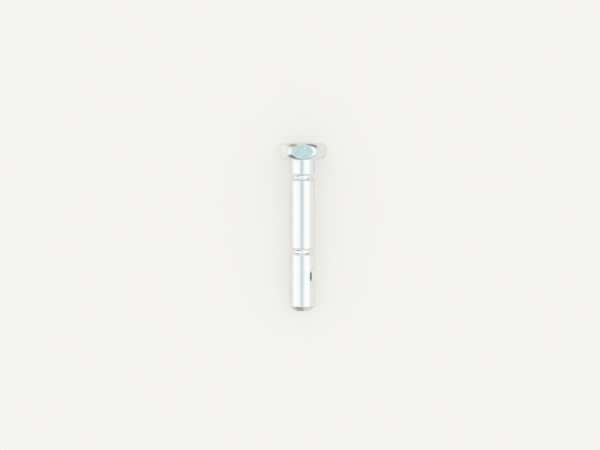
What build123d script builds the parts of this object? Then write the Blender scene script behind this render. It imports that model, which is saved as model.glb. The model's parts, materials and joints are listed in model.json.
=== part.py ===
from build123d import *
from math import atan2, degrees, radians, sin, sqrt, tan
import os

# A shear pin. Its hexagon head stops it in its hole, two grooves are where it is meant
# to break, and a cotter goes through the countersunk cross hole near its tip.
# The pin is made standing on its own axis, with the head's underside at z = 0, the head
# above it and the shank below. It is then laid down as it comes to rest: the head
# towards +Y, a flat of the head upwards, and the middle of the base at the origin.
# Lengths are in millimetres and angles in degrees.

INCH = 25.4

# Head
ACROSS_FLATS = 7 / 16 * INCH
HEAD_HEIGHT = 5 / 32 * INCH
CORNER_TURN_DEPTH = 0.24  # what is turned off each corner of the hexagon
END_TURN_DEPTH = 0.85  # how far the rims of the head's two end faces lie inside the turned corners
RIM_ROUNDING = 0.3  # between an end face and the head's turned side
HEAD_FILLET = 0.25  # between the head's underside and the shank

# Shank
SHANK_DIAMETER = 1 / 4 * INCH
SHANK_LENGTH = 1.5 * INCH  # from the head's underside to the tip
TIP_CHAMFER = 1.1
SHOULDER_ROUNDING = 0.2  # between the shank and the chamfer

# Shear grooves, the first near the head and the second near the cross hole
HEAD_TO_GROOVE = 4.5
GROOVE_TO_HOLE = 6.4
GROOVE_DEPTH = 0.575
GROOVE_ANGLE = 90.0  # between the groove's two flanks
GROOVE_ROOT_RADIUS = 0.76

# Cross hole
HOLE_TO_TIP = 8.55
HOLE_DIAMETER = 3 / 32 * INCH  # takes a cotter of 5/64 in
HOLE_CLOCKING = 71.0  # from the normal of the head's upper flat, towards +X
SINK_DIAMETER = 5.6  # at the crest of the shank
SINK_ANGLE = 118.0
CUTTER_OVERRUN = 1.0  # how far the drill and countersinks start outside the shank

shank_radius = SHANK_DIAMETER / 2
hole_z = HOLE_TO_TIP - SHANK_LENGTH
groove_stations = (-HEAD_TO_GROOVE, hole_z + GROOVE_TO_HOLE)

# The head's side is an arc from one end face to the other, and the corners reach its middle.
corner_radius = ACROSS_FLATS / sqrt(3) - CORNER_TURN_DEPTH
end_face_radius = corner_radius - END_TURN_DEPTH
side_arc_radius = (HEAD_HEIGHT**2 / 4 + END_TURN_DEPTH**2) / (2 * END_TURN_DEPTH)


def head():
    """Hexagon with flats towards +Y and -Y, its corners turned over towards both ends."""
    hexagon = extrude(RegularPolygon(ACROSS_FLATS / 2, 6, major_radius=False), HEAD_HEIGHT)
    side = ThreePointArc(
        (end_face_radius, 0),
        (corner_radius, HEAD_HEIGHT / 2),
        (end_face_radius, HEAD_HEIGHT),
    )
    ends = Polyline((end_face_radius, HEAD_HEIGHT), (0, HEAD_HEIGHT), (0, 0), (end_face_radius, 0))
    section = make_face(side + ends)
    rims = section.vertices().group_by(Axis.X)[-1]
    section = fillet(rims, RIM_ROUNDING)
    return hexagon & revolve(Plane.XZ * section, Axis.Z)


def groove_corners(station):
    """Corners of one groove as (radius, z, rounding): its lip, its root and its other lip."""
    half_angle = radians(GROOVE_ANGLE / 2)
    sharp_depth = GROOVE_DEPTH + GROOVE_ROOT_RADIUS * (1 / sin(half_angle) - 1)
    half_width = sharp_depth * tan(half_angle)
    return [
        (shank_radius, station + half_width, 0),
        (shank_radius - sharp_depth, station, GROOVE_ROOT_RADIUS),
        (shank_radius, station - half_width, 0),
    ]


def shank():
    """Turned shank with its grooves and chamfered tip, starting inside the head."""
    start_z = HEAD_HEIGHT / 2
    tip_z = -SHANK_LENGTH
    corners = []
    for station in groove_stations:
        corners += groove_corners(station)
    corners += [
        (shank_radius, tip_z + TIP_CHAMFER, SHOULDER_ROUNDING),
        (shank_radius - TIP_CHAMFER, tip_z, 0),
    ]
    points = [(radius, z) for radius, z, _ in corners]
    roundings = [rounding for _, _, rounding in corners]
    outline = FilletPolyline((shank_radius, start_z), *points, (0, tip_z), radius=roundings)
    axis_side = Polyline((0, tip_z), (0, start_z), (shank_radius, start_z))
    return revolve(Plane.XZ * make_face(outline + axis_side), Axis.Z)


def cross_hole():
    """Hole right through the shank with a countersink at both mouths, to be cut away."""
    hole_radius = HOLE_DIAMETER / 2
    sink_slope = tan(radians(SINK_ANGLE / 2))
    sink_depth = (SINK_DIAMETER / 2 - hole_radius) / sink_slope
    outside = shank_radius + CUTTER_OVERRUN
    outside_radius = SINK_DIAMETER / 2 + CUTTER_OVERRUN * sink_slope
    outline = Polyline(
        (-outside, 0),
        (-outside, outside_radius),
        (sink_depth - shank_radius, hole_radius),
        (shank_radius - sink_depth, hole_radius),
        (outside, outside_radius),
        (outside, 0),
        close=True,
    )
    along_x = revolve(make_face(outline), Axis.X)
    return Pos(0, 0, hole_z) * Rot(0, 0, HOLE_CLOCKING - 90) * along_x


def under_head_edge(solid):
    """Circle where the shank meets the head's underside, the second end face from the tip."""
    underside = solid.faces().filter_by(Plane.XY).sort_by(Axis.Z)[1]
    return underside.inner_wires()[0].edges()


def standing_pin():
    """Whole pin on the Z axis, with the upper flat of its head towards -Y."""
    blank = head() + shank()
    blank = fillet(under_head_edge(blank), HEAD_FILLET)
    return blank - cross_hole()


def rest_tilt():
    """Angle of the axis to the floor as the pin lies on its head's flat and its tip."""
    arc_center = corner_radius - side_arc_radius
    flat_half_height = sqrt(side_arc_radius**2 - (ACROSS_FLATS / 2 - arc_center) ** 2)
    rise = ACROSS_FLATS / 2 - shank_radius
    run = SHANK_LENGTH - TIP_CHAMFER + HEAD_HEIGHT / 2 - flat_half_height
    return degrees(atan2(rise, run))


def resting_place(solid):
    """Place that lays the standing pin down, with the middle of its base at the origin."""
    turn = Rot(rest_tilt() - 90, 0, 0)
    box = (turn * solid).bounding_box()
    return Pos(-box.center().X, -box.center().Y, -box.min.Z) * turn


pin = standing_pin()
shear_pin = resting_place(pin) * pin

os.makedirs("parts", exist_ok=True)
export_step(shear_pin, "parts/shear_pin.step")
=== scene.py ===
"""A zinc plated shear pin, turned, milled and drilled with Blender's own tools."""

import json
import math

import bpy
from bpy.props import FloatProperty
from bpy.props import FloatVectorProperty
from bpy.props import IntProperty
from bpy.props import PointerProperty
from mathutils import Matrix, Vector


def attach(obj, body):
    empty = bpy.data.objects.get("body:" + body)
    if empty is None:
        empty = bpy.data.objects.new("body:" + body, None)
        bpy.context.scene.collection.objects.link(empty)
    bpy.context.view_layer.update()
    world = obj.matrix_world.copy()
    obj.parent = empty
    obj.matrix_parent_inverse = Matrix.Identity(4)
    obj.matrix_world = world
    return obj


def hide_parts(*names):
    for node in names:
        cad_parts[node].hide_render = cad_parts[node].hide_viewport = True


bl_info = {
    "name": "Shear Pin",
    "version": (1, 0, 0),
    "blender": (4, 5, 0),
    "location": "View3D > Sidebar > Shear Pin",
    "description": "Models a plated shear pin with a hexagon head, two grooves and a cross hole",
    "category": "Add Mesh",
}

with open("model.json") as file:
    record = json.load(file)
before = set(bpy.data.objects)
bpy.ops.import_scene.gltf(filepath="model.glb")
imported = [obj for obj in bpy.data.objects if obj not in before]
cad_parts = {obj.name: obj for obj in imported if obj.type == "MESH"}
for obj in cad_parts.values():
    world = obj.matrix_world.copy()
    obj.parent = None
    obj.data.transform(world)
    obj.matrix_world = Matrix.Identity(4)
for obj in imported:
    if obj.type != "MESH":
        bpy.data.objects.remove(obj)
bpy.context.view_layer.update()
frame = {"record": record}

# The pin is modelled 1000 times its size, so that a Blender unit stands for a millimetre.
WORK_SCALE = 1000.0

# Where the pin lies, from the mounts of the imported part. Its own frame has the middle of the
# head's underside at the origin, the head above it and the tip below.
mounts = {mount["name"]: mount for mount in frame["record"]["mounts"]}
to_tip = Vector(mounts["hub_land"]["axis"])
land_middle = Vector(mounts["hub_land"]["pos_m"])
on_underside = Vector(mounts["bearing_face"]["pos_m"])
pin_origin = land_middle + to_tip * (on_underside - land_middle).dot(to_tip)
pin_turn = math.atan2(-to_tip.z, -to_tip.y) - math.pi / 2

# The cross hole's height in the pin's own frame, in millimetres, and its angle round the axis
# from the normal of the upper flat.
hole_middle = Vector(mounts["cotter_hole"]["pos_m"])
hole_axis = Vector(mounts["cotter_hole"]["axis"])
upper_flat = to_tip.cross(Vector((1, 0, 0)))
hole_z = (hole_middle - pin_origin).dot(-to_tip) * WORK_SCALE
hole_clocking = math.atan2(hole_axis.x, hole_axis.dot(upper_flat))

# Detail of the meshes. The lengths are in millimetres. Points closer than WELD are joined after
# a spin, points within ON_CUT of a cut count as on it, and SLIVER clears up after the drilling.
HEAD_TOP_RINGS = (0.0, 1.0, 2.0, 3.0, 4.0)
RIM_STEPS = 6
SIDE_STEPS = 26
ROUNDING_STEP = 0.08
HOLE_ROWS = 34
HOLE_ROW_HEIGHT = 0.2
TIP_RING = 1.0
CUTTER_SEGMENTS = 96
FLAT_EDGE_SEGMENTS = 3
SHORTEST_FLAT_EDGE = 0.03
WELD = 0.0005
ON_CUT = 0.0001
SLIVER = 0.001
SHARP_EDGE = math.radians(25)

# Limits that tell the pin's surfaces apart. Heights are in millimetres and an area in square
# millimetres, in the pin's own frame. A slant is how far a face's normal points upwards, and
# a squareness is how nearly it has the direction in question.
LEAST_FLAT_AREA = 4.0
LEAST_FLAT_CORNERS = 20
UPRIGHT_SLANT = 0.001
FLAT_SQUARENESS = 0.9999
LOWEST_IN_HEAD = -0.1
HIGHEST_IN_GROOVE = -0.5
FLANK_SLANT = 0.66
CHAMFER_SLANTS = (-0.9, -0.35)
SHANK_SQUARENESS = 0.97
BORE_SQUARENESS = 0.1
UNDERSIDE_REACH = 0.01
UNDERSIDE_SLANT = -0.99

# Tints and gloss of the plate. Noise runs from 0 to 1 and is mostly near the middle, so the
# purest tints come at these two levels. The flats' edges are in millimetres from the middle.
TINT_LEVELS = (0.28, 0.72)
TINT_DETAIL = 3.0
# Between these two edges, the flats' painted tint goes from the upper flat's bluer one to the warmer one of
# the flats beside it.
UPPER_FLAT_EDGE = 2.8
SIDE_FLAT_EDGE = 3.6
CLOUD_SCALE = 1.3
GLOSS_DETAIL = 4.0
GLOSS_LEVELS = (0.6, 1.4)
GLOSSIEST = 0.8
DULLEST = 1.25

# Marks left on the surface, as how many there are to a millimetre along X, Y and Z
ROUND_LINES = (0.12, 0.12, 9.0)
BROKEN_LINES = (0.6, 0.6, 9.0)
DAPPLES = (1.6, 1.6, 1.6)
GRAIN = (2.0, 2.0, 2.0)

# Sockets of a mix node that are for colours
MIX_PART = 0
MIX_FIRST = 6
MIX_SECOND = 7
MIX_RESULT = 2

# Brightness at the horizon by bearing in degrees, counterclockwise from +X as seen from above.
HORIZON = (
    (-180, 1.04),
    (-156, 1.02),
    (-146, 0.66),
    (-140, 0.38),
    (-130, 0.22),
    (-105, 0.20),
    (-92, 0.23),
    (-80, 0.38),
    (-68, 0.64),
    (-55, 0.76),
    (-35, 0.86),
    (-10, 0.90),
    (15, 0.87),
    (27, 0.70),
    (36, 0.42),
    (48, 0.30),
    (62, 0.39),
    (74, 0.46),
    (82, 0.80),
    (102, 0.88),
    (113, 0.50),
    (132, 0.56),
    (143, 0.95),
    (160, 1.04),
    (180, 1.04),
)

# Higher up it is bright all round. The brightness comes between two heights, each the sine of
# an angle above the horizon. They are lower on the right. On the far left the brightness comes
# almost down to the horizon, from the first X of a direction on, and fully from the second.
LIGHT_HEIGHTS = (0.42, 0.51)
LOWER_ON_RIGHT = 0.17
FAR_LEFT = (-0.80, -0.94)
LOWER_ON_FAR_LEFT = 0.56

# Straight above is a soft gap, a little to the left.
GAP_SHIFT = 0.14
GAP_SCALE = (2.25, 2.2)
GAP_EDGE = 1.3

# Painted shade on the floor that only the metal's reflections show, darkening what the metal reflects
# beside the head, past the tip, and far off past the head. Each oval has its middle, half its width and
# depth, both in metres, and how dim it is.
PAINTED_REFLECTION_SHADE_PATCHES = (
    ((0.015, 0.019), (0.009, 0.009), 0.11),
    ((-0.0052, -0.050), (0.0092, 0.020), 0.57),
    ((0.0, 0.27), (0.60, 0.17), 0.55),
)
PATCH_OUTER_EDGE = 1.3
PATCH_INNER_EDGE = 0.7

# Floor and camera, in metres, and the sensor's width in millimetres. The pin is a little right
# of the middle of the view.
FLOOR_SIZE = 1.6
CAMERA_PLACE = (-0.00057, 0.00037)
CLIP_START = 0.01
SENSOR_WIDTH = 36


def length(name, description, default):
    """A length of the pin or of the stage, in metres."""
    return FloatProperty(
        name=name,
        description=description,
        default=default,
        min=0.0,
        precision=6,
        unit="LENGTH",
    )


def angle(name, description, default):
    """An angle of the pin, given in degrees."""
    return FloatProperty(
        name=name,
        description=description,
        default=math.radians(default),
        subtype="ANGLE",
    )


def colour(name, description, default):
    """A colour of a finish or of the stage."""
    return FloatVectorProperty(
        name=name,
        description=description,
        default=default,
        size=3,
        min=0.0,
        max=1.0,
        subtype="COLOR",
    )


def share(name, description, default, most=1.0):
    """A plain number of a finish or of a light."""
    return FloatProperty(
        name=name,
        description=description,
        default=default,
        min=0.0,
        max=most,
    )


class ShearPinSizes(bpy.types.PropertyGroup):
    """Sizes of the pin."""

    across_flats: length("Across Flats", "Width of the hexagon head", 0.0111125)
    head_height: length("Head Height", "From the underside to the top of the head", 0.00396875)
    corner_turn_depth: length("Corner Turning", "What is turned off each corner", 0.00024)
    end_turn_depth: length("End Turning", "How far the head's rims lie inside its corners", 0.00085)
    rim_rounding: length("Rim Rounding", "Radius between the head's side and its ends", 0.0003)
    flat_edge_rounding: length("Flat Edge Rounding", "Width of the soft edge round each flat", 0.00006)
    head_fillet: length("Head Fillet", "Radius between the head and the shank", 0.00025)
    shank_diameter: length("Shank Diameter", "Of the lands", 2e-3 * mounts["hub_land"]["dims"]["r_mm"])
    shank_length: length("Shank Length", "From the head's underside to the tip", 0.0381)
    tip_chamfer: length("Tip Chamfer", "Of the tip, along and across", 0.0011)
    shoulder_rounding: length("Shoulder Rounding", "Between the shank and the chamfer", 0.0002)
    edge_break: length("Edge Break", "Radius round the tip", 0.00008)
    lip_rounding: length("Lip Rounding", "Radius at the lips of both grooves", 0.00015)
    head_to_groove: length("Head to Groove", "From the underside to the first groove", 0.0045)
    groove_to_hole: length("Groove to Hole", "From the second groove to the hole", 0.0064)
    groove_depth: length("Groove Depth", "Of both grooves", 0.000575)
    groove_angle: angle("Groove Angle", "Between the flanks of a groove", 90.0)
    groove_root_radius: length("Groove Root Radius", "At the bottom of a groove", 0.00076)
    hole_diameter: length("Hole Diameter", "Of the cross hole", 2e-3 * mounts["cotter_hole"]["dims"]["r_mm"])
    sink_diameter: length("Countersink Diameter", "At the crest of the shank", 0.0056)
    sink_angle: angle("Countersink Angle", "Between the countersink's walls", 118.0)
    cutter_overrun: length("Cutter Overrun", "How far the cutter starts outside the shank", 0.001)
    segments: IntProperty(
        name="Segments",
        description="Faces round the pin",
        default=192,
        min=48,
        max=384,
    )


class ShearPinFinish(bpy.types.PropertyGroup):
    """Look of the zinc plate."""

    plate_colour: colour("Plate", "Colour of the bright zinc", (0.87, 0.885, 0.87))
    blue_tint: colour("Blue Tint", "Where the plate is bluest", (0.81, 0.87, 0.895))
    warm_tint: colour("Warm Tint", "Where the plate is warmest", (0.895, 0.875, 0.835))
    head_colour: colour("Head", "Colour of the head's turned side and its top", (0.818, 0.832, 0.818))
    flat_colour: colour("Flats", "Colour of the plate on the head's flats", (0.875, 0.908, 0.88))
    # The flats' cool and warm tints come in random patches. On top of that, the upper flat is painted
    # towards the cool one and the side flats towards the warm one, as painted reflections.
    flat_cool_tint: colour("Flats, Cool", "Where the flats are bluest", (0.69, 0.858, 0.85))
    flat_warm_tint: colour("Flats, Warm", "Where the flats are warmest", (0.94, 0.945, 0.852))
    # A warmer colour on the grooves' flanks: a painted tint of the light they reflect from near the horizon
    flank_colour: colour("Groove Flanks", "Where the plate is thin", (0.88, 0.885, 0.835))
    # The tip's chamfer is given a darker colour than the rest of the plate, darkest in patches.
    chamfer_colour: colour("Chamfer", "Where the plate is dull", (0.69, 0.69, 0.675))
    chamfer_dark: colour("Chamfer, Dark", "Where the chamfer is darkest", (0.574, 0.574, 0.565))
    sink_colour: colour("Countersinks", "Colour of the countersinks", (0.90, 0.905, 0.85))
    bore_colour: colour("Cross Hole", "Colour of the drilled wall", (0.84, 0.845, 0.79))
    shank_roughness: share("Shank Roughness", "Of the turned surfaces", 0.14)
    flat_roughness: share("Flat Roughness", "Of the head's flats", 0.22)
    flank_roughness: share("Flank Roughness", "Of the grooves' flanks", 0.22)
    underside_roughness: share("Underside Roughness", "Of the head's satin underside", 0.5)
    hole_roughness: share("Hole Roughness", "Of the drilled wall and the countersinks", 0.45)
    chamfer_roughness: share("Chamfer Roughness", "Of the tip's chamfer", 0.25)
    line_height: length("Turning Lines", "Height of the tool's lines", 0.0000006)
    dapple_height: length("Dapples", "Height of the dapples on the flats", 0.0000065)


class ShearPinStage(bpy.types.PropertyGroup):
    """Floor, light and camera."""

    floor_colour: colour("Floor", "Colour of the pale floor", (0.93, 0.922, 0.887))
    # The floor's painted shade, which only the metal's reflections show
    floor_painted_shade: colour("Dark Floor", "What the floor fades to where the metal shows it dim", (0, 0.05, 0.06))
    floor_light: share("Floor Light", "Brightness of the even light on the floor", 0.985, 4.0)
    floor_glow: share("Floor Glow", "Share of the floor's paleness that no shadow dims", 0.5)
    light_level: share("Light Level", "Brightness of the soft lights in the metal", 1.12, 4.0)
    gap_above: colour("Gap Above", "Colour straight above, between the lights", (0.585, 0.70, 0.765))
    corner_tint: colour("Corner Tint", "Tint of the dim corners of the room", (0.60, 0.98, 1.0))
    camera_height: length("Camera Height", "Above the floor", 0.45)
    view_width: length("View Width", "Width of the floor that the camera sees", 0.15257)


def pin_outline(sizes):
    """Outline of the turned blank as (radius, z) points in millimetres, from top to tip."""
    head_height = sizes.head_height * WORK_SCALE
    shank_radius = sizes.shank_diameter / 2 * WORK_SCALE
    tip_z = -sizes.shank_length * WORK_SCALE
    chamfer = sizes.tip_chamfer * WORK_SCALE
    edge_break = sizes.edge_break * WORK_SCALE
    lip = sizes.lip_rounding * WORK_SCALE

    # The head's side is an arc, with a smaller arc at each rim.
    rim = sizes.rim_rounding * WORK_SCALE
    corner_radius = (sizes.across_flats / math.sqrt(3) - sizes.corner_turn_depth) * WORK_SCALE
    end_turn = sizes.end_turn_depth * WORK_SCALE
    side_radius = (head_height**2 / 4 + end_turn**2) / (2 * end_turn)
    side_center = corner_radius - side_radius
    rim_rise = head_height / 2 - rim
    rim_center = side_center + math.sqrt((side_radius - rim) ** 2 - rim_rise**2)
    rim_angle = math.atan2(rim_rise, rim_center - side_center)
    points = [(radius, head_height) for radius in HEAD_TOP_RINGS]
    points += arc((rim_center, head_height - rim), rim, math.pi / 2, rim_angle, RIM_STEPS)
    side = arc((side_center, head_height / 2), side_radius, rim_angle, -rim_angle, SIDE_STEPS)
    points += side[1:-1]
    points += arc((rim_center, rim), rim, -rim_angle, -math.pi / 2, RIM_STEPS)

    # Below it come the fillet and the two grooves.
    corners = [(rim_center, 0.0, 0.0), (shank_radius, 0.0, sizes.head_fillet * WORK_SCALE)]
    half_angle = sizes.groove_angle / 2
    root = sizes.groove_root_radius * WORK_SCALE
    sharp_depth = sizes.groove_depth * WORK_SCALE + root * (1 / math.sin(half_angle) - 1)
    half_width = sharp_depth * math.tan(half_angle)
    first_groove = -sizes.head_to_groove * WORK_SCALE
    second_groove = hole_z + sizes.groove_to_hole * WORK_SCALE
    for station in (first_groove, second_groove):
        corners.append((shank_radius, station + half_width, lip))
        corners.append((shank_radius - sharp_depth, station, root))
        corners.append((shank_radius, station - half_width, lip))

    # Rows of small faces meet the cross hole, none of them at its middle, and then comes the tip.
    for row in range(HOLE_ROWS):
        above_hole = (HOLE_ROWS / 2 - 0.5 - row) * HOLE_ROW_HEIGHT
        corners.append((shank_radius, hole_z + above_hole, 0.0))
    corners.append((shank_radius, tip_z + chamfer, sizes.shoulder_rounding * WORK_SCALE))
    corners.append((shank_radius - chamfer, tip_z, edge_break))
    corners.append((TIP_RING, tip_z, 0.0))
    corners.append((0.0, tip_z, 0.0))
    return points + rounded(corners)[1:]


def arc(center, radius, start, end, steps):
    """Points of an arc in the outline's plane."""
    points = []
    for step in range(steps + 1):
        turn = start + (end - start) * step / steps
        points.append((center[0] + radius * math.cos(turn), center[1] + radius * math.sin(turn)))
    return points


def rounded(corners):
    """Points of an outline of (radius, z, rounding) corners, with an arc at each rounded one."""
    points = []
    for index, (radius, z, rounding) in enumerate(corners):
        if rounding == 0:
            points.append((radius, z))
            continue
        corner = Vector((radius, z))
        back = (Vector(corners[index - 1][:2]) - corner).normalized()
        ahead = (Vector(corners[index + 1][:2]) - corner).normalized()
        half = back.angle(ahead) / 2
        center = corner + (back + ahead).normalized() * rounding / math.sin(half)
        start = corner + back * rounding / math.tan(half) - center
        end = corner + ahead * rounding / math.tan(half) - center
        first = math.atan2(start.y, start.x)
        turn = math.remainder(math.atan2(end.y, end.x) - first, 2 * math.pi)
        steps = max(3, round(abs(turn) * rounding / ROUNDING_STEP))
        points += arc(center, rounding, first, first + turn, steps)
    return points


def turned(name, outline, segments):
    """Traces an outline from one vertex and spins it round the Z axis."""
    bpy.ops.object.select_all(action="DESELECT")
    bpy.ops.mesh.primitive_plane_add(size=0.1, location=(outline[0][0], 0, outline[0][1]))
    piece = bpy.context.object
    piece.name = name
    bpy.ops.object.mode_set(mode="EDIT")
    bpy.ops.mesh.select_mode(type="VERT")
    bpy.ops.mesh.select_all(action="SELECT")
    bpy.ops.mesh.merge(type="CENTER")
    for here, there in zip(outline, outline[1:]):
        step = (there[0] - here[0], 0, there[1] - here[1])
        bpy.ops.mesh.extrude_region_move(TRANSFORM_OT_translate={"value": step})
    bpy.ops.mesh.select_all(action="SELECT")
    bpy.ops.mesh.spin(steps=segments, angle=2 * math.pi, center=(0, 0, 0), axis=(0, 0, 1))
    bpy.ops.mesh.select_all(action="SELECT")
    bpy.ops.mesh.remove_doubles(threshold=WELD)
    bpy.ops.mesh.normals_make_consistent(inside=False)
    bpy.ops.object.mode_set(mode="OBJECT")
    bpy.ops.object.transform_apply(location=True, rotation=True, scale=True)
    return piece


def select_only(piece):
    """Makes a piece the only selected object and the active one."""
    bpy.ops.object.select_all(action="DESELECT")
    piece.select_set(True)
    bpy.context.view_layer.objects.active = piece


def select_faces(piece, wanted):
    """Selects the faces that a test picks, leaves the piece in edit mode and returns their number."""
    select_only(piece)
    bpy.ops.object.mode_set(mode="EDIT")
    bpy.ops.mesh.select_mode(type="FACE")
    bpy.ops.mesh.select_all(action="DESELECT")
    bpy.ops.object.mode_set(mode="OBJECT")
    count = 0
    for face in piece.data.polygons:
        face.select = wanted(face)
        count += face.select
    bpy.ops.object.mode_set(mode="EDIT")
    if count == 0:
        raise RuntimeError(f"no face of {piece.name} was found to select")
    return count


def flat_normals():
    """Directions of the head's six flats in the pin's own frame."""
    turns = [math.radians(60 * flat) for flat in range(6)]
    return [Vector((math.sin(turn), -math.cos(turn), 0)) for turn in turns]


def cut_flats(pin, sizes):
    """Cuts the six flats off the turned head and softens the edge round each of them."""
    reach = sizes.across_flats / 2 * WORK_SCALE
    select_only(pin)
    bpy.ops.object.mode_set(mode="EDIT")
    for normal in flat_normals():
        bpy.ops.mesh.select_all(action="SELECT")
        bpy.ops.mesh.bisect(
            plane_co=normal * reach,
            plane_no=normal,
            use_fill=True,
            clear_outer=True,
            threshold=ON_CUT,
        )
    bpy.ops.object.mode_set(mode="OBJECT")

    # Very short edges round a flat are merged, so that the bevel comes out even.
    count = select_faces(pin, is_flat)
    if count != 6:
        raise RuntimeError(f"the head has {count} flats and not 6")
    bpy.ops.mesh.region_to_loop()
    bpy.ops.mesh.remove_doubles(threshold=SHORTEST_FLAT_EDGE)
    bpy.ops.object.mode_set(mode="OBJECT")
    select_faces(pin, is_flat)
    bpy.ops.mesh.region_to_loop()
    bpy.ops.mesh.bevel(
        offset=sizes.flat_edge_rounding * WORK_SCALE,
        segments=FLAT_EDGE_SEGMENTS,
        affect="EDGES",
        clamp_overlap=False,
        loop_slide=False,
    )
    bpy.ops.object.mode_set(mode="OBJECT")


def is_flat(face):
    """Whether a face is one of the head's flats: upright, large, and with many corners."""
    upright = abs(face.normal.z) < UPRIGHT_SLANT
    return upright and face.area > LEAST_FLAT_AREA and len(face.vertices) > LEAST_FLAT_CORNERS


def drill_cross_hole(pin, sizes):
    """Drills the cross hole and countersinks both its mouths."""
    hole_radius = sizes.hole_diameter / 2 * WORK_SCALE
    sink_radius = sizes.sink_diameter / 2 * WORK_SCALE
    shank_radius = sizes.shank_diameter / 2 * WORK_SCALE
    overrun = sizes.cutter_overrun * WORK_SCALE
    slope = math.tan(sizes.sink_angle / 2)
    sink_depth = (sink_radius - hole_radius) / slope
    outside = shank_radius + overrun
    outside_radius = sink_radius + overrun * slope
    wall = shank_radius - sink_depth
    outline = [(0.0, outside), (outside_radius, outside)]
    outline += [(hole_radius, wall), (hole_radius, -wall)]
    outline += [(outside_radius, -outside), (0.0, -outside)]
    cutter = turned("cross_hole_cutter", outline, CUTTER_SEGMENTS)
    cutter.location.z = hole_z
    cutter.rotation_euler = (math.pi / 2, 0, hole_clocking)
    select_only(pin)
    bpy.ops.object.modifier_add(type="BOOLEAN")
    cut = pin.modifiers[-1]
    cut.operation = "DIFFERENCE"
    cut.solver = "EXACT"
    cut.object = cutter
    bpy.ops.object.modifier_apply(modifier=cut.name)
    select_only(cutter)
    bpy.ops.object.delete()

    # Slivers that the cut left are merged away.
    select_only(pin)
    bpy.ops.object.mode_set(mode="EDIT")
    bpy.ops.mesh.select_all(action="SELECT")
    bpy.ops.mesh.remove_doubles(threshold=SLIVER)
    bpy.ops.mesh.dissolve_degenerate(threshold=SLIVER)
    bpy.ops.object.mode_set(mode="OBJECT")


def smooth(pin):
    """Shades the pin smooth, with its large faces left flat or straight."""
    select_only(pin)
    bpy.ops.object.shade_smooth_by_angle(angle=SHARP_EDGE)
    bpy.ops.object.modifier_add(type="WEIGHTED_NORMAL")
    even = pin.modifiers[-1]
    even.keep_sharp = True
    bpy.ops.object.modifier_apply(modifier=even.name)


def lay_down(pin):
    """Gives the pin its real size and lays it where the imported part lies."""
    select_only(pin)
    pin.scale = (1 / WORK_SCALE, 1 / WORK_SCALE, 1 / WORK_SCALE)
    pin.rotation_euler = (pin_turn, 0, 0)
    pin.location = pin_origin
    bpy.ops.object.transform_apply(location=True, rotation=True, scale=True)


def mixed(one, other, part):
    """A colour part of the way from one to the other."""
    return [a + (b - a) * part for a, b in zip(one, other)]


def new_node(tree, kind, **values):
    """Adds a shader node and sets its properties, and its inputs by name."""
    node = tree.nodes.new(kind)
    for name, value in values.items():
        if hasattr(node, name):
            setattr(node, name, value)
        else:
            node.inputs[name].default_value = value
    return node


def feed(tree, value, socket):
    """Links another node's output to a socket, or gives the socket a constant."""
    if isinstance(value, bpy.types.NodeSocket):
        tree.links.new(value, socket)
    else:
        socket.default_value = value


def calculated(tree, operation, *values):
    """Output of a math node."""
    node = new_node(tree, "ShaderNodeMath", operation=operation)
    for value, socket in zip(values, node.inputs):
        feed(tree, value, socket)
    return node.outputs["Value"]


def measured(tree, operation, *vectors):
    """Output of a vector math node that gives a number."""
    node = new_node(tree, "ShaderNodeVectorMath", operation=operation)
    for vector, socket in zip(vectors, node.inputs):
        feed(tree, vector, socket)
    return node.outputs["Value"]


def mapped(tree, vector, **values):
    """Output of a mapping node."""
    node = new_node(tree, "ShaderNodeMapping", **values)
    feed(tree, vector, node.inputs["Vector"])
    return node.outputs["Vector"]


def noise(tree, vector, scale, detail):
    """Output of a noise texture."""
    node = new_node(tree, "ShaderNodeTexNoise", Scale=scale, Detail=detail)
    feed(tree, vector, node.inputs["Vector"])
    return node.outputs["Fac"]


def ranged(tree, value, start, end, low=0.0, high=1.0, blend="SMOOTHSTEP"):
    """Output that goes from low to high while a value goes from start to end."""
    node = new_node(tree, "ShaderNodeMapRange", interpolation_type=blend)
    node.inputs["From Min"].default_value = start
    node.inputs["From Max"].default_value = end
    node.inputs["To Min"].default_value = low
    node.inputs["To Max"].default_value = high
    feed(tree, value, node.inputs["Value"])
    return node.outputs["Result"]


def blended(tree, part, first, second):
    """Output that is part of the way from the first colour to the second."""
    node = new_node(tree, "ShaderNodeMix", data_type="RGBA")
    feed(tree, part, node.inputs[MIX_PART])
    feed(tree, first, node.inputs[MIX_FIRST])
    feed(tree, second, node.inputs[MIX_SECOND])
    return node.outputs[MIX_RESULT]


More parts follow.
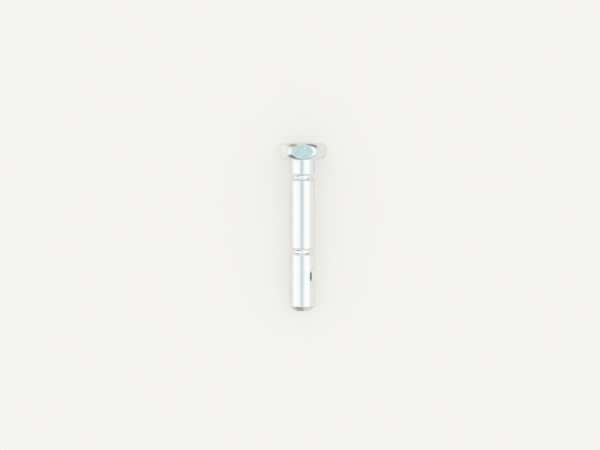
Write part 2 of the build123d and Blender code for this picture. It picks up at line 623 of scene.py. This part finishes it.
def zinc(name, tints, tint_size, roughness, line_stretch, line_height, painted_tint_shifts=(0, 0)):
    """Zinc plate with uneven tints, faint lines left by the tool, and cloudy gloss."""
    material = bpy.data.materials.new(name)
    material.use_nodes = True
    tree = material.node_tree
    tree.nodes.clear()
    output = new_node(tree, "ShaderNodeOutputMaterial")
    shader = new_node(tree, "ShaderNodeBsdfPrincipled", Metallic=1.0)
    feed(tree, shader.outputs["BSDF"], output.inputs["Surface"])

    # Coordinates in the pin's own frame, in millimetres
    place = new_node(tree, "ShaderNodeTexCoord")
    own = mapped(
        tree,
        place.outputs["Object"],
        vector_type="TEXTURE",
        Location=pin_origin,
        Rotation=(pin_turn, 0, 0),
        Scale=(1 / WORK_SCALE, 1 / WORK_SCALE, 1 / WORK_SCALE),
    )
    tint = uneven_tint(tree, own, tints, tint_size, painted_tint_shifts)
    feed(tree, tint, shader.inputs["Base Color"])

    # Lines that the tool left, drawn out along its path
    lines = noise(tree, mapped(tree, own, Scale=line_stretch), 1.0, GLOSS_DETAIL)
    bump = new_node(tree, "ShaderNodeBump", Strength=1.0, Distance=line_height)
    feed(tree, lines, bump.inputs["Height"])
    feed(tree, bump.outputs["Normal"], shader.inputs["Normal"])

    # Gloss that changes with the lines and in clouds
    clouds = noise(tree, own, CLOUD_SCALE, GLOSS_DETAIL)
    both = calculated(tree, "ADD", lines, clouds)
    glossiest = roughness * GLOSSIEST
    dullest = roughness * DULLEST
    rough = ranged(tree, both, *GLOSS_LEVELS, glossiest, dullest, blend="LINEAR")
    feed(tree, rough, shader.inputs["Roughness"])
    return material


def uneven_tint(tree, own, tints, tint_size, painted_tint_shifts):
    """Output of a tint that wanders between three in soft patches.

    The tints are pushed bluer on the upper flat and warmer on the flats beside it: painted tints of the
    bluish gap above and the warm floor that these flats reflect.
    """
    patches = noise(tree, own, 1 / tint_size, TINT_DETAIL)
    split = new_node(tree, "ShaderNodeSeparateXYZ")
    feed(tree, own, split.inputs["Vector"])
    aside = calculated(tree, "ABSOLUTE", split.outputs["X"])
    painted_tint_shift = ranged(tree, aside, UPPER_FLAT_EDGE, SIDE_FLAT_EDGE, *painted_tint_shifts)
    ramp = new_node(tree, "ShaderNodeValToRGB")
    stops = ramp.color_ramp.elements
    for index, tint in enumerate((tints[0], tints[2])):
        stops[index].position = TINT_LEVELS[index]
        stops[index].color = (*tint, 1)
    middle = stops.new(sum(TINT_LEVELS) / 2)
    middle.color = (*tints[1], 1)
    feed(tree, calculated(tree, "ADD", patches, painted_tint_shift), ramp.inputs["Fac"])
    return ramp.outputs["Color"]


def plate(pin, sizes, finish):
    """Gives each kind of surface its own finish of the same plate."""

    def shades(middle, blue_part, warm_part):
        """A middle tint between a bluer and a warmer one."""
        bluer = mixed(middle, finish.blue_tint, blue_part)
        return bluer, middle, mixed(middle, finish.warm_tint, warm_part)

    turned_zinc = zinc(
        "turned_zinc",
        tints=shades(finish.plate_colour, 0.6, 0.6),
        tint_size=2.2,
        roughness=finish.shank_roughness,
        line_stretch=ROUND_LINES,
        line_height=finish.line_height,
    )
    head_zinc = zinc(
        "head_zinc",
        tints=shades(finish.head_colour, 0.4, 0.4),
        tint_size=2.2,
        roughness=finish.shank_roughness,
        line_stretch=ROUND_LINES,
        line_height=finish.line_height,
    )
    # The flats' tints are partly random patches and partly painted reflection: the upper flat is painted
    # bluer and the flats beside it warmer.
    dappled_zinc = zinc(
        "dappled_zinc",
        tints=(finish.flat_cool_tint, finish.flat_colour, finish.flat_warm_tint),
        tint_size=0.75,
        roughness=finish.flat_roughness,
        line_stretch=DAPPLES,
        line_height=finish.dapple_height,
        painted_tint_shifts=(-0.14, 0.13),
    )
    # The flanks get a warmer colour, a painted tint of the light they reflect from near the horizon.
    flank_zinc_painted_tint = zinc(
        "flank_zinc_painted_tint",
        tints=shades(finish.flank_colour, 0.2, 0.3),
        tint_size=1.6,
        roughness=finish.flank_roughness,
        line_stretch=ROUND_LINES,
        line_height=finish.line_height,
    )
    # The chamfer gets a darker colour than the rest of the plate, darkest in patches.
    chamfer_tints = shades(finish.chamfer_colour, 0.0, 0.4)
    dark_chamfer_zinc = zinc(
        "dark_chamfer_zinc",
        tints=(finish.chamfer_dark, *chamfer_tints[1:]),
        tint_size=1.4,
        roughness=finish.chamfer_roughness,
        line_stretch=BROKEN_LINES,
        line_height=finish.line_height,
    )
    sunk_zinc = zinc(
        "sunk_zinc",
        tints=shades(finish.sink_colour, 0.2, 0.3),
        tint_size=1.2,
        roughness=finish.hole_roughness,
        line_stretch=GRAIN,
        line_height=finish.line_height,
    )
    drilled_zinc = zinc(
        "drilled_zinc",
        tints=shades(finish.bore_colour, 0.2, 0.3),
        tint_size=1.2,
        roughness=finish.hole_roughness,
        line_stretch=GRAIN,
        line_height=finish.line_height,
    )
    satin_zinc = zinc(
        "satin_zinc",
        tints=shades(finish.plate_colour, 0.3, 0.3),
        tint_size=1.8,
        roughness=finish.underside_roughness,
        line_stretch=ROUND_LINES,
        line_height=finish.line_height,
    )

    # Each finish takes its faces from those before it, and the first keeps the rest.
    pin.data.materials.append(turned_zinc)
    kinds = (head_zinc, dappled_zinc, flank_zinc_painted_tint, dark_chamfer_zinc, sunk_zinc, drilled_zinc, satin_zinc)
    for index, (material, wanted) in enumerate(zip(kinds, surface_tests(sizes)), 1):
        pin.data.materials.append(material)
        select_faces(pin, wanted)
        pin.active_material_index = index
        bpy.ops.object.material_slot_assign()
        bpy.ops.object.mode_set(mode="OBJECT")


def surface_tests(sizes):
    """Tests for faces of the head, flats, grooves, chamfer, cross hole, its bore, and underside."""
    tip_z = -sizes.shank_length * WORK_SCALE
    chamfer = sizes.tip_chamfer * WORK_SCALE
    sink_reach = sizes.sink_diameter / 2 * WORK_SCALE + HOLE_ROW_HEIGHT
    along_hole = Vector((math.sin(hole_clocking), -math.cos(hole_clocking), 0))

    def in_head(face):
        return face.center.z > LOWEST_IN_HEAD

    def in_flat(face):
        square_on = max(face.normal.dot(normal) for normal in flat_normals())
        return face.center.z > 0 and square_on > FLAT_SQUARENESS

    def in_flank(face):
        in_grooves = tip_z + chamfer < face.center.z < HIGHEST_IN_GROOVE
        return in_grooves and abs(face.normal.z) > FLANK_SLANT and not in_hole(face)

    def in_chamfer(face):
        lowest, highest = CHAMFER_SLANTS
        return face.center.z < tip_z + chamfer and lowest < face.normal.z < highest

    def in_hole(face):
        outwards = Vector((face.center.x, face.center.y, 0)).normalized()
        near_hole = abs(face.center.z - hole_z) < sink_reach
        return near_hole and face.normal.dot(outwards) < SHANK_SQUARENESS

    def in_bore(face):
        return in_hole(face) and abs(face.normal.dot(along_hole)) < BORE_SQUARENESS

    def in_underside(face):
        return abs(face.center.z) < UNDERSIDE_REACH and face.normal.z < UNDERSIDE_SLANT

    return in_head, in_flat, in_flank, in_chamfer, in_hole, in_bore, in_underside


class SHEARPIN_OT_pin(bpy.types.Operator):
    """Turn the blank, cut the head's flats, drill the cross hole and plate the pin"""

    bl_idname = "shearpin.pin"
    bl_label = "Shear Pin"
    bl_options = {"REGISTER", "UNDO"}

    def execute(self, context):
        sizes = context.scene.shear_pin_sizes
        finish = context.scene.shear_pin_finish
        pin = turned("plated_shear_pin", pin_outline(sizes), sizes.segments)
        cut_flats(pin, sizes)
        drill_cross_hole(pin, sizes)
        plate(pin, sizes, finish)
        smooth(pin)
        lay_down(pin)
        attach(pin, "root")
        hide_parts("shear_pin")
        return {"FINISHED"}


class SHEARPIN_OT_stage(bpy.types.Operator):
    """Set up the pale floor, the soft light from both sides and the camera above the pin"""

    bl_idname = "shearpin.stage"
    bl_label = "Floor, Light and Camera"
    bl_options = {"REGISTER", "UNDO"}

    def execute(self, context):
        stage = context.scene.shear_pin_stage
        lay_floor(stage)
        hang_lights(context.scene, stage)
        place_camera(context.scene, stage)
        context.scene.view_settings.view_transform = "Standard"
        return {"FINISHED"}


def lay_floor(stage):
    """A pale floor that the pin lies on."""
    bpy.ops.object.select_all(action="DESELECT")
    bpy.ops.mesh.primitive_plane_add(size=FLOOR_SIZE, location=(0, 0, 0))
    floor = bpy.context.object
    floor.name = "pale_floor"
    material = bpy.data.materials.new("pale_floor")
    material.use_nodes = True
    tree = material.node_tree
    shader = tree.nodes["Principled BSDF"]
    shader.inputs["Roughness"].default_value = 1.0
    shader.inputs["Specular IOR Level"].default_value = 0.0

    # The floor is painted darker in a few patches that only the metal's reflections show: painted shade in
    # what the metal reflects.
    place = new_node(tree, "ShaderNodeTexCoord")
    ray = new_node(tree, "ShaderNodeLightPath")
    dimness = 0.0
    for center, size, depth in PAINTED_REFLECTION_SHADE_PATCHES:
        patch = painted_shade_patch(tree, place.outputs["Object"], center, size, depth)
        dimness = calculated(tree, "MAXIMUM", dimness, patch)
    # Only glossy rays see the painted shade, so the camera sees the floor unchanged.
    dim = calculated(tree, "MULTIPLY", dimness, ray.outputs["Is Glossy Ray"])
    paleness = blended(tree, dim, (*stage.floor_colour, 1), (*stage.floor_painted_shade, 1))

    # To the camera, part of the floor's paleness is its own, which softens the pin's shadow.
    glow = calculated(tree, "MULTIPLY", ray.outputs["Is Camera Ray"], stage.floor_glow)
    shaded = blended(tree, glow, paleness, (0, 0, 0, 1))
    feed(tree, shaded, shader.inputs["Base Color"])
    own_light = [stage.floor_light * part for part in stage.floor_colour]
    shader.inputs["Emission Color"].default_value = (*own_light, 1)
    feed(tree, glow, shader.inputs["Emission Strength"])
    floor.data.materials.append(material)


def painted_shade_patch(tree, place, center, size, depth):
    """Output that says how much painted shade the floor has in a soft-edged oval patch."""
    from_center = mapped(tree, place, vector_type="TEXTURE", Location=(*center, 0), Scale=(*size, 1))
    reach = measured(tree, "LENGTH", from_center)
    return ranged(tree, reach, PATCH_OUTER_EDGE, PATCH_INNER_EDGE, high=depth)


def hang_lights(scene, stage):
    """Soft light from both sides, dimmer corners of a room, and a bluish gap straight above."""
    world = bpy.data.worlds.new("soft_light")
    scene.world = world
    world.use_nodes = True
    tree = world.node_tree
    tree.nodes.clear()
    output = new_node(tree, "ShaderNodeOutputWorld")
    background = new_node(tree, "ShaderNodeBackground")
    feed(tree, background.outputs["Background"], output.inputs["Surface"])
    place = new_node(tree, "ShaderNodeTexCoord")
    direction = place.outputs["Generated"]
    split = new_node(tree, "ShaderNodeSeparateXYZ")
    feed(tree, direction, split.inputs["Vector"])

    # Near the horizon the light changes with the bearing.
    ring = horizon_ring(tree, split, stage.corner_tint)

    # Higher up it is bright all round.
    rise = measured(tree, "DOT_PRODUCT", direction, (LOWER_ON_RIGHT, 0, 1))
    far_left = ranged(tree, split.outputs["X"], *FAR_LEFT, high=LOWER_ON_FAR_LEFT)
    start = calculated(tree, "ADD", rise, far_left)
    high = ranged(tree, start, *LIGHT_HEIGHTS)
    level = stage.light_level
    beside = blended(tree, high, ring, (level, level, level, 1))

    # Straight above is a bluish gap between the lights.
    above = mapped(tree, direction, Location=(GAP_SHIFT, 0, 0), Scale=(*GAP_SCALE, 0))
    gap = ranged(tree, measured(tree, "LENGTH", above), GAP_EDGE, 0.0)
    lit = blended(tree, gap, beside, (*stage.gap_above, 1))

    # The metal shows these lights, the floor has an even light, and the camera sees the
    # floor's own colour beyond its edge.
    ray = new_node(tree, "ShaderNodeLightPath")
    even = stage.floor_light
    shown = blended(tree, ray.outputs["Is Glossy Ray"], (even, even, even, 1), lit)
    beyond_floor = [even * part for part in stage.floor_colour]
    seen = blended(tree, ray.outputs["Is Camera Ray"], shown, (*beyond_floor, 1))
    feed(tree, seen, background.inputs["Color"])


def horizon_ring(tree, split, corner_tint):
    """Output of the light at the horizon, whose dim stretches have the corners' tint."""
    bearing = calculated(tree, "ARCTAN2", split.outputs["Y"], split.outputs["X"])
    turn = ranged(tree, bearing, -math.pi, math.pi, blend="LINEAR")
    ramp = new_node(tree, "ShaderNodeValToRGB")
    stops = ramp.color_ramp.elements
    for degrees, _ in HORIZON[1:-1]:
        stops.new((degrees + 180) / 360)
    for stop, (_, level) in zip(stops, HORIZON):
        tinted = [level * part for part in corner_tint]
        stop.color = (*mixed(tinted, (level, level, level), min(1, level)), 1)
    feed(tree, turn, ramp.inputs["Fac"])
    return ramp.outputs["Color"]


def place_camera(scene, stage):
    """A camera straight above the pin."""
    bpy.ops.object.select_all(action="DESELECT")
    bpy.ops.object.camera_add(location=(*CAMERA_PLACE, stage.camera_height), rotation=(0, 0, 0))
    camera = bpy.context.object
    camera.data.sensor_width = SENSOR_WIDTH
    camera.data.lens = SENSOR_WIDTH * stage.camera_height / stage.view_width
    camera.data.clip_start = CLIP_START
    scene.camera = camera


class SHEARPIN_PT_panel(bpy.types.Panel):
    """Sizes and finish of the pin, with a button for each step"""

    bl_idname = "SHEARPIN_PT_panel"
    bl_label = "Shear Pin"
    bl_space_type = "VIEW_3D"
    bl_region_type = "UI"
    bl_category = "Shear Pin"

    def draw(self, context):
        layout = self.layout
        for group in (
            context.scene.shear_pin_sizes,
            context.scene.shear_pin_finish,
            context.scene.shear_pin_stage,
        ):
            box = layout.box()
            for name in group.__annotations__:
                box.prop(group, name)
        layout.operator(SHEARPIN_OT_pin.bl_idname)
        layout.operator(SHEARPIN_OT_stage.bl_idname)


classes = (
    ShearPinSizes,
    ShearPinFinish,
    ShearPinStage,
    SHEARPIN_OT_pin,
    SHEARPIN_OT_stage,
    SHEARPIN_PT_panel,
)


def register():
    for each in classes:
        bpy.utils.register_class(each)
    bpy.types.Scene.shear_pin_sizes = PointerProperty(type=ShearPinSizes)
    bpy.types.Scene.shear_pin_finish = PointerProperty(type=ShearPinFinish)
    bpy.types.Scene.shear_pin_stage = PointerProperty(type=ShearPinStage)


def unregister():
    del bpy.types.Scene.shear_pin_stage
    del bpy.types.Scene.shear_pin_finish
    del bpy.types.Scene.shear_pin_sizes
    for each in reversed(classes):
        bpy.utils.unregister_class(each)


def main():
    """Builds the pin and its stage."""
    register()
    bpy.ops.shearpin.pin()
    bpy.ops.shearpin.stage()


if __name__ == "__main__":
    main()
